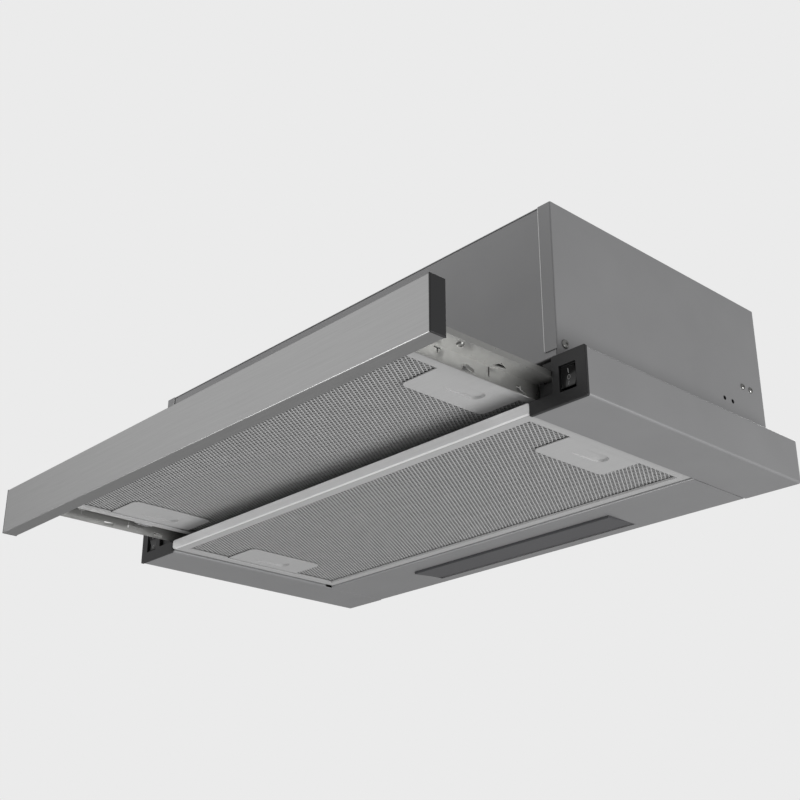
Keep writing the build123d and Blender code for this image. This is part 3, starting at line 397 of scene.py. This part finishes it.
def make_strand_tree():
    """Grid of points, thinned where the latch pockets are, with one tipped strand on each."""
    tree, given = new_tree("expanded mesh layer", {
        "Centre": "NodeSocketVector", "Size X": "NodeSocketFloat", "Size Y": "NodeSocketFloat",
        "Diamond X": "NodeSocketFloat", "Diamond Y": "NodeSocketFloat", "Width": "NodeSocketFloat",
        "Thickness": "NodeSocketFloat", "Tip": "NodeSocketFloat", "Pocket Inner": "NodeSocketFloat",
        "Pocket Outer": "NodeSocketFloat", "Pocket Half Length": "NodeSocketFloat",
        "Material": "NodeSocketMaterial"})
    step_x = math_node(tree, "DIVIDE", given["Diamond X"], 2.0)
    step_y = math_node(tree, "DIVIDE", given["Diamond Y"], 2.0)
    columns = math_node(tree, "FLOOR", math_node(tree, "DIVIDE", given["Size X"], step_x))
    rows = math_node(tree, "FLOOR", math_node(tree, "DIVIDE", given["Size Y"], step_y))
    span_x = math_node(tree, "MULTIPLY", math_node(tree, "SUBTRACT", columns, 1.0), step_x)
    span_y = math_node(tree, "MULTIPLY", math_node(tree, "SUBTRACT", rows, 1.0), step_y)
    grid = add_node(tree, "GeometryNodeMeshGrid",
                    {"Size X": span_x, "Size Y": span_y, "Vertices X": columns, "Vertices Y": rows})

    position = add_node(tree, "GeometryNodeInputPosition").outputs["Position"]
    place = add_node(tree, "ShaderNodeSeparateXYZ", {"Vector": position})
    across = math_node(tree, "ABSOLUTE", place.outputs["X"])
    along = math_node(tree, "ABSOLUTE", place.outputs["Y"])
    past_inner = math_node(tree, "GREATER_THAN", across, given["Pocket Inner"])
    before_outer = math_node(tree, "LESS_THAN", across, given["Pocket Outer"])
    beside = math_node(tree, "LESS_THAN", along, given["Pocket Half Length"])
    between = math_node(tree, "MULTIPLY", past_inner, before_outer)
    in_pocket = math_node(tree, "MULTIPLY", between, beside)
    kept = add_node(tree, "GeometryNodeDeleteGeometry",
                    {"Geometry": grid.outputs["Mesh"], "Selection": in_pocket}, domain="POINT")

    # column plus row is even or odd, as on a chessboard, and sets which way the strand leans
    count = []
    for axis, span, step in (("X", span_x, step_x), ("Y", span_y, step_y)):
        from_edge = math_node(tree, "ADD", place.outputs[axis], math_node(tree, "DIVIDE", span, 2.0))
        count.append(math_node(tree, "ROUND", math_node(tree, "DIVIDE", from_edge, step)))
    odd = math_node(tree, "MODULO", math_node(tree, "ADD", *count), 2.0)
    side = math_node(tree, "SUBTRACT", math_node(tree, "MULTIPLY", odd, 2.0), 1.0)
    lean = math_node(tree, "MULTIPLY", side, math_node(tree, "ARCTAN2", step_x, step_y))
    tip = math_node(tree, "MULTIPLY", side, given["Tip"])
    turn = add_node(tree, "ShaderNodeCombineXYZ", {"Y": tip, "Z": lean})

    squares = [math_node(tree, "MULTIPLY", step, step) for step in (step_x, step_y)]
    diagonal = math_node(tree, "SQRT", math_node(tree, "ADD", *squares))
    half = math_node(tree, "MULTIPLY", diagonal, STRAND_REACH)
    start = add_node(tree, "ShaderNodeCombineXYZ", {"Y": math_node(tree, "MULTIPLY", half, -1.0)})
    end = add_node(tree, "ShaderNodeCombineXYZ", {"Y": half})
    spine = add_node(tree, "GeometryNodeCurvePrimitiveLine",
                     {"Start": start.outputs[0], "End": end.outputs[0]})
    outline = add_node(tree, "GeometryNodeCurvePrimitiveQuadrilateral",
                       {"Width": given["Width"], "Height": given["Thickness"]})
    strand = add_node(tree, "GeometryNodeCurveToMesh",
                      {"Curve": spine.outputs["Curve"], "Profile Curve": outline.outputs["Curve"]})
    placed = add_node(tree, "GeometryNodeInstanceOnPoints",
                      {"Points": kept.outputs["Geometry"], "Instance": strand.outputs["Mesh"],
                       "Rotation": turn.outputs[0]})
    moved = add_node(tree, "GeometryNodeTransform",
                     {"Geometry": placed.outputs["Instances"], "Translation": given["Centre"]})
    end_tree(tree, moved.outputs["Geometry"], given["Material"])
    return tree


strand_tree = make_strand_tree()
print(f"strand tree with {len(strand_tree.nodes)} nodes")

# %% [markdown]
# Behind the first layer the pack goes on for several more, and only slivers of them show through
# the openings. They are one slab, the CAD one with its face set back behind the strands, painted
# with the same diamonds: paler strands round darker holes. The darkness of the holes is painted
# shade, standing for the shade deep in the pack.


# %% Inner layers
def make_inner_layers():
    """Lines where two sloping families of strands run, with painted shade in the openings between them."""
    material, tree, shader = new_material("inner layers of the mesh pack", Metallic=0.4, Roughness=0.5)
    position = add_node(tree, "ShaderNodeTexCoord").outputs["Object"]
    place = add_node(tree, "ShaderNodeSeparateXYZ", {"Vector": position})
    x = math_node(tree, "DIVIDE", place.outputs["X"], DIAMOND[0])
    y = math_node(tree, "DIVIDE", place.outputs["Y"], DIAMOND[1])
    rising = math_node(tree, "PINGPONG", math_node(tree, "ADD", x, y), 0.5)
    falling = math_node(tree, "PINGPONG", math_node(tree, "SUBTRACT", x, y), 0.5)
    nearest = math_node(tree, "MINIMUM", rising, falling)
    painted_shade_in_openings = add_node(tree, "ShaderNodeMapRange", {"Value": nearest, "From Min": 0.1, "From Max": 0.22})
    # the openings get the darker grey: painted shade for the depth of the pack behind them
    vary_color(tree, shader, painted_shade_in_openings.outputs["Result"], "#a2a2a2", "#707070")
    return material


inner_layers = make_inner_layers()
SET_BACK = 1.1 * MM  # from the face of the CAD slab to the face behind the strands
POCKET_FROM = 13 * MM  # the pocket over the finger scoop, from the latch's inner edge
POCKET_TO = 39 * MM
POCKET_HALF = 26 * MM

for filter_name in ("fixed_filter", "drawer_filter"):
    pad_node = f"{filter_name}_mesh"
    low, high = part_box(pad_node)
    latch_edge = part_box(f"{filter_name}_latch_right")[0].x
    layer = grow(strand_tree, {
        "Centre": (0.0, (low.y + high.y) / 2, low.z + SET_BACK / 2),
        "Size X": high.x - low.x, "Size Y": high.y - low.y,
        "Diamond X": DIAMOND[0], "Diamond Y": DIAMOND[1], "Width": STRAND_WIDTH,
        "Thickness": STRAND_THICK, "Tip": STRAND_TIP, "Pocket Inner": latch_edge + POCKET_FROM,
        "Pocket Outer": latch_edge + POCKET_TO, "Pocket Half Length": POCKET_HALF,
        "Material": strand_aluminium})
    add_piece(f"{filter_name}_strands", layer, filter_name, strand_aluminium)

    shell = merged_copy(pad_node)
    for vertex in shell.verts:
        if vertex.co.z < (low.z + high.z) / 2:
            vertex.co.z += SET_BACK
    name = f"{filter_name}_inner_layers"
    slab = add_piece(name, as_mesh(shell, name), filter_name, inner_layers)
    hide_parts(pad_node)
    print(f"{filter_name}: {len(layer.polygons)} strand faces over {(high.x - low.x) / MM:.0f} mm")

# %% [markdown]
# ## Springs behind the latches
#
# Two bowed leaf springs push each latch outwards, and they flatten when a finger pulls it in. The
# CAD springs are rigid solids, so each side of a filter gets a copy of its pair that is squeezed
# towards its inner end as its own latch slides. How much is left follows from the latch's travel.

# %% Springs, a copy for each side
for place in ("fixed", "drawer"):
    for side, way in (("right", 1), ("left", -1)):
        shell = merged_copy(f"{place}_filter_springs")
        other_side = [vertex for vertex in shell.verts if vertex.co.x * way < 0]
        bmesh.ops.delete(shell, geom=other_side, context="VERTS")
        name = f"{place}_filter_springs_{side}"
        springs = add_piece(name, as_mesh(shell, name), f"{place}_filter", finishes["spring_steel"])
        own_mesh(springs)
        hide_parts(f"{place}_filter_springs")

# %% [markdown]
# ## Screws with a cross recess
#
# Pan-head screws hold the collar, the housing and the drawer. The CAD screw is a plain button, so
# each one gets a proper head: a low dome with a cross cut into it. The places are read from the
# CAD: the screws of one node are separate islands of its mesh, and each island tells where its head
# is and which way it faces. Geometry Nodes then puts one screw on each place.


# %% Find the screws
def islands(node):
    """The vertex positions of each separate solid in a CAD node."""
    shell = merged_copy(node)
    waiting = set(shell.verts)
    found = []
    for first in shell.verts:
        if first not in waiting:
            continue
        waiting.remove(first)
        edge = [first]
        island = []
        while edge:
            vertex = edge.pop()
            island.append(vertex.co.copy())
            near = [e.other_vert(vertex) for e in vertex.link_edges if e.other_vert(vertex) in waiting]
            waiting.difference_update(near)
            edge.extend(near)
        found.append(island)
    shell.free()
    return found


def from_axis(point, middle, axis):
    """How far a point is from the line through the middle along an axis."""
    away = point - middle
    away[axis] = 0
    return away.length


def head_of(island):
    """Centre of the underside of a screw's head, its outward direction and its radius."""
    low = Vector([min(p[i] for p in island) for i in range(3)])
    high = Vector([max(p[i] for p in island) for i in range(3)])
    middle, extent = (low + high) / 2, high - low
    uneven = [abs(extent[(i + 1) % 3] - extent[(i + 2) % 3]) for i in range(3)]
    axis = uneven.index(min(uneven))
    radius = extent[(axis + 1) % 3] / 2
    rim = [p[axis] for p in island if from_axis(p, middle, axis) > 0.9 * radius]
    side = 1 if sum(rim) / len(rim) > middle[axis] else -1
    direction = Vector([side if i == axis else 0 for i in range(3)])
    seat = middle.copy()
    seat[axis] = min(rim) if side > 0 else max(rim)
    return seat, direction, radius


# %% [markdown]
# The screw itself is modelled once, one unit in radius. The dome is turned from a short profile,
# and the cross is two blocks taken away by a Boolean, slightly narrower at the bottom as the driver
# needs. Each place then scales the screw to its own head.


# %% Model one screw and the tree that repeats it
SCREW_PROFILE = [(0.0, -1.4), (0.46, -1.4), (0.48, 0.0), (1.0, 0.0), (1.0, 0.16), (0.93, 0.34),
                 (0.75, 0.47), (0.45, 0.54), (0.0, 0.56)]
SCREW_SIDES = 28
SLOT_SIZE = (1.1, 0.2, 0.66)
SLOT_MIDDLE = 0.5
SLOT_TAPER = 0.6  # width at the bottom of a slot, as a share of its width at the top


def make_screw():
    """A plain pan head of radius 1 and its shank, with the seat of the head on z = 0."""
    shell = bmesh.new()
    turns = [2 * math.pi * i / SCREW_SIDES for i in range(SCREW_SIDES)]
    rings = []
    for radius, height in SCREW_PROFILE:
        if radius == 0:
            rings.append([shell.verts.new((0, 0, height))] * SCREW_SIDES)
        else:
            rings.append([shell.verts.new((radius * math.cos(t), radius * math.sin(t), height))
                          for t in turns])
    for lower, upper in zip(rings, rings[1:]):
        for i in range(SCREW_SIDES):
            j = (i + 1) % SCREW_SIDES
            corners = [lower[i], lower[j], upper[j], upper[i]]
            shell.faces.new(list(dict.fromkeys(corners)))
    bmesh.ops.recalc_face_normals(shell, faces=shell.faces)
    return as_mesh(shell, "screw")


def cut_cross(mesh):
    """Cut the two tapered slots of a cross recess out of the head."""
    cutter = bmesh.new()
    block = Matrix.Translation((0, 0, SLOT_MIDDLE)) @ Matrix.Diagonal((*SLOT_SIZE, 1))
    for turn in (0, 90):
        turned = Matrix.Rotation(math.radians(turn), 4, "Z")
        made = bmesh.ops.create_cube(cutter, size=1.0, matrix=turned @ block)
        for vertex in made["verts"]:
            if vertex.co.z < SLOT_MIDDLE:
                vertex.co.xy *= SLOT_TAPER
    target = bpy.data.objects.new("screw", mesh)
    tool = bpy.data.objects.new("cross cutter", as_mesh(cutter, "cross cutter"))
    for thing in (target, tool):
        bpy.context.scene.collection.objects.link(thing)
    cut = target.modifiers.new("cross", "BOOLEAN")
    cut.operation = "DIFFERENCE"
    cut.solver = "EXACT"
    cut.use_self = True
    cut.object = tool
    done = bpy.data.meshes.new_from_object(target.evaluated_get(bpy.context.evaluated_depsgraph_get()))
    bpy.data.objects.remove(tool)
    bpy.data.objects.remove(target)
    return done


def make_screw_tree():
    """One screw on every point, turned along the point's direction and scaled to its radius."""
    tree, given = new_tree("screws", {"Screw": "NodeSocketObject", "Material": "NodeSocketMaterial"})
    screw = add_node(tree, "GeometryNodeObjectInfo", {"Object": given["Screw"]}, transform_space="ORIGINAL")
    direction = add_node(tree, "GeometryNodeInputNamedAttribute", {"Name": "direction"},
                         data_type="FLOAT_VECTOR")
    radius = add_node(tree, "GeometryNodeInputNamedAttribute", {"Name": "radius"}, data_type="FLOAT")
    turn = add_node(tree, "FunctionNodeAlignRotationToVector",
                    {"Vector": direction.outputs["Attribute"]}, axis="Z")
    placed = add_node(tree, "GeometryNodeInstanceOnPoints",
                      {"Points": given["Geometry"], "Instance": screw.outputs["Geometry"],
                       "Rotation": turn.outputs["Rotation"], "Scale": radius.outputs["Attribute"]})
    end_tree(tree, placed.outputs["Instances"], given["Material"])
    return tree


screw_pattern = bpy.data.objects.new("screw pattern", cut_cross(make_screw()))
bpy.context.scene.collection.objects.link(screw_pattern)
screw_tree = make_screw_tree()
for node in ("housing_screws", "bracket_screws", "drawer_screws"):
    heads = [head_of(island) for island in islands(node)]
    points = bpy.data.meshes.new(f"{node} places")
    points.from_pydata([seat for seat, direction, radius in heads], [], [])
    facing = points.attributes.new("direction", "FLOAT_VECTOR", "POINT")
    facing.data.foreach_set("vector", [c for seat, direction, radius in heads for c in direction])
    scale = points.attributes.new("radius", "FLOAT", "POINT")
    scale.data.foreach_set("value", [radius for seat, direction, radius in heads])
    screws = grow(screw_tree, {"Screw": screw_pattern, "Material": finishes["screw_steel"]}, points)
    piece = add_piece(f"{node}_recessed", screws, body_of[node], finishes["screw_steel"])
    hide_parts(node)
    print(f"{node}: {len(heads)} screws, head radius {heads[0][2] / MM:.1f} mm")
bpy.data.objects.remove(screw_pattern)

# %% [markdown]
# ## Painted highlight on the edges of the side flanges
#
# Each side of the housing is folded 13 mm over the front panel, and the edge of that flange
# shows as a bright line. The line is a painted highlight: a narrow pale bar along the flange, a
# tenth of a millimetre proud of the paint.

# %% Painted edge highlights
EDGE_WIDTH = 0.55 * MM
EDGE_PROUD = 0.1 * MM
EDGE_STOP = 1 * MM  # short of each end of the flange
FLANGE_FOOT = 33 * MM  # the flange ends this far above the foot of the side
# the pale grey of this bar is a painted highlight on the flange's edge
painted_edge_highlight = make_plain("pale paint for the edge highlight", "#d2d2d2", 0.5, 0.35, 3)

for name in ("housing_side_right", "housing_side_left"):
    low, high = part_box(name)
    edge_x = min(abs(low.x), abs(high.x)) * (1 if high.x > 0 else -1)
    foot = low.z + FLANGE_FOOT
    length = high.z - foot - 2 * EDGE_STOP
    centre = Matrix.Translation((edge_x, low.y, (foot + high.z) / 2))
    shell = bmesh.new()
    bmesh.ops.create_cube(shell, size=1.0,
                          matrix=centre @ Matrix.Diagonal((EDGE_WIDTH, 2 * EDGE_PROUD, length, 1)))
    edge_name = f"{name}_cut_edge"
    add_piece(edge_name, as_mesh(shell, edge_name), body_of[name], painted_edge_highlight)
    print(f"{name}: painted highlight bar {length / MM:.0f} mm long")

# %% [markdown]
# ## Marks on the rockers
#
# A rocker carries pad-printed marks: a ring for off and a bar for each step. They follow the
# hollow face of the rocker, so each mark is built at the middle of the face and then turned about
# the centre of the face's curve. The rocker's own tilt turns it once more about the pivot, which
# the joint gives.

# %% Rocker marks
FACE_DEPTH = 6.9 * MM  # from the pivot forward to the middle of the hollow face
FACE_RADIUS = 24.3 * MM
LIGHT_TILT = math.radians(8)  # the two-way rocker rests with its lower end pressed in
MARK_PROUD = 0.08 * MM
MARK_THICK = 0.3 * MM  # most of it is sunk in the rocker
MARK_REACH = math.radians(12)  # from the middle of the face to the end marks
BAR_SIZE = (0.9 * MM, 3.6 * MM)
RING_RADII = (2.0 * MM, 1.3 * MM)
RING_NARROWING = 0.8
RING_SIDES = 32
mark_ink = make_plain("grey pad-printing ink", "#6c6c6c", 0.0, 0.5, 2)


def add_bar(shell, place):
    """An upright bar."""
    size = Matrix.Diagonal((BAR_SIZE[0], MARK_THICK, BAR_SIZE[1], 1))
    bmesh.ops.create_cube(shell, size=1.0, matrix=place @ size)


def add_ring(shell, place):
    """A narrow ring, with four corners round its section."""
    outer, inner = RING_RADII
    front, back = -MARK_THICK / 2, MARK_THICK / 2
    turns = [2 * math.pi * i / RING_SIDES for i in range(RING_SIDES)]
    loops = []
    for radius, y in ((outer, front), (inner, front), (inner, back), (outer, back)):
        round_it = [Vector((RING_NARROWING * radius * math.cos(t), y, radius * math.sin(t))) for t in turns]
        loops.append([shell.verts.new(place @ corner) for corner in round_it])
    for first, second in zip(loops, loops[1:] + loops[:1]):
        for i in range(RING_SIDES):
            j = (i + 1) % RING_SIDES
            shell.faces.new((first[i], first[j], second[j], second[i]))


def add_marks(rocker, shapes, tilt):
    """Lay marks evenly down the face of a rocker, from top to bottom."""
    pivot = next(Vector(j["pos_m"]) for j in frame["joints"] if j["child"] == rocker)
    face_centre = (Matrix.Translation(pivot) @ Matrix.Rotation(tilt, 4, "X")
                   @ Matrix.Translation((0, -FACE_DEPTH - FACE_RADIUS, 0)))
    on_face = Matrix.Translation((0, FACE_RADIUS + MARK_THICK / 2 - MARK_PROUD, 0))
    shell = bmesh.new()
    for index, add_shape in enumerate(shapes):
        angle = MARK_REACH * (1 - 2 * index / (len(shapes) - 1))
        add_shape(shell, face_centre @ Matrix.Rotation(angle, 4, "X") @ on_face)
    bmesh.ops.recalc_face_normals(shell, faces=shell.faces)
    name = f"{rocker}_marks"
    return add_piece(name, as_mesh(shell, name), rocker, mark_ink)


fan_marks = add_marks("fan_rocker", (add_bar, add_ring, add_bar), 0.0)
light_marks = add_marks("light_rocker", (add_bar, add_ring), LIGHT_TILT)
print(f"marks: {len(fan_marks.data.polygons) + len(light_marks.data.polygons)} faces")

# %% [markdown]
# ## Studio
#
# The hood hangs in a pale room, high above a matt floor. The surround looks light grey to the
# camera, but it lights the hood with less than half of that strength, so that the soft lights can
# shape it. A low one in front brings out the mesh and the underside, a large high one is reflected
# in the facia, a low one at the right lights the sides, and a high one behind serves the roof and
# the back. The camera is a little below the hood, looking up.


# %% Floor, surround and lights
FLOOR_DROP = 1.6  # metres under the lowest corner of the hood
LIT_STRENGTH = 0.42


def make_floor():
    """Matt pale floor, well under the hood."""
    bpy.ops.mesh.primitive_plane_add(size=14, location=(0, 0, cad_box[0].z - FLOOR_DROP))
    floor = bpy.context.object
    material, tree, shader = new_material("pale studio floor", "#e4e4e4", Roughness=0.9)
    floor.data.materials.append(material)


def add_softbox(name, place, aim, width, power):
    """Square area light at a place, turned towards a point."""
    data = bpy.data.lights.new(name, "AREA")
    data.size = width
    data.energy = power
    light = bpy.data.objects.new(name, data)
    light.location = place
    light.rotation_euler = (Vector(aim) - Vector(place)).to_track_quat("-Z", "Y").to_euler()
    bpy.context.scene.collection.objects.link(light)


make_floor()
world = bpy.data.worlds.new("studio surround")
bpy.context.scene.world = world
world.use_nodes = True
room = world.node_tree
seen = add_node(room, "ShaderNodeBackground", {"Color": linear("#ebebeb"), "Strength": 1.0})
lit = add_node(room, "ShaderNodeBackground", {"Color": linear("#ebebeb"), "Strength": LIT_STRENGTH})
path = add_node(room, "ShaderNodeLightPath")
either = add_node(room, "ShaderNodeMixShader",
                  {0: path.outputs["Is Camera Ray"], 1: lit.outputs[0], 2: seen.outputs[0]})
room.links.new(either.outputs[0], room.nodes["World Output"].inputs["Surface"])

add_softbox("low front softbox", (-0.9, -1.5, -1.1), (0, -0.1, -0.15), 1.0, 13)
add_softbox("high front softbox", (-1.4, -1.9, 1.0), (-0.1, -0.1, -0.1), 2.4, 10.5)
add_softbox("low side softbox", (1.5, 0.3, -0.9), (0.1, 0, -0.1), 1.0, 22)
add_softbox("high rear softbox", (-0.8, 1.7, 1.5), (0, 0, -0.1), 1.8, 32)
bpy.context.scene.view_settings.view_transform = "Standard"

# %% Camera
CAMERA_PLACE = Vector((0.8347, -0.8203, -0.5472))
CAMERA_AIM = Vector((-0.0442, -0.0118, -0.0335))
lens_data = bpy.data.cameras.new("camera")
lens_data.lens = 57.62
lens_data.sensor_width = 36
camera = bpy.data.objects.new("camera", lens_data)
camera.location = CAMERA_PLACE
camera.rotation_euler = (CAMERA_AIM - CAMERA_PLACE).to_track_quat("-Z", "Y").to_euler()
bpy.context.scene.collection.objects.link(camera)
bpy.context.scene.camera = camera
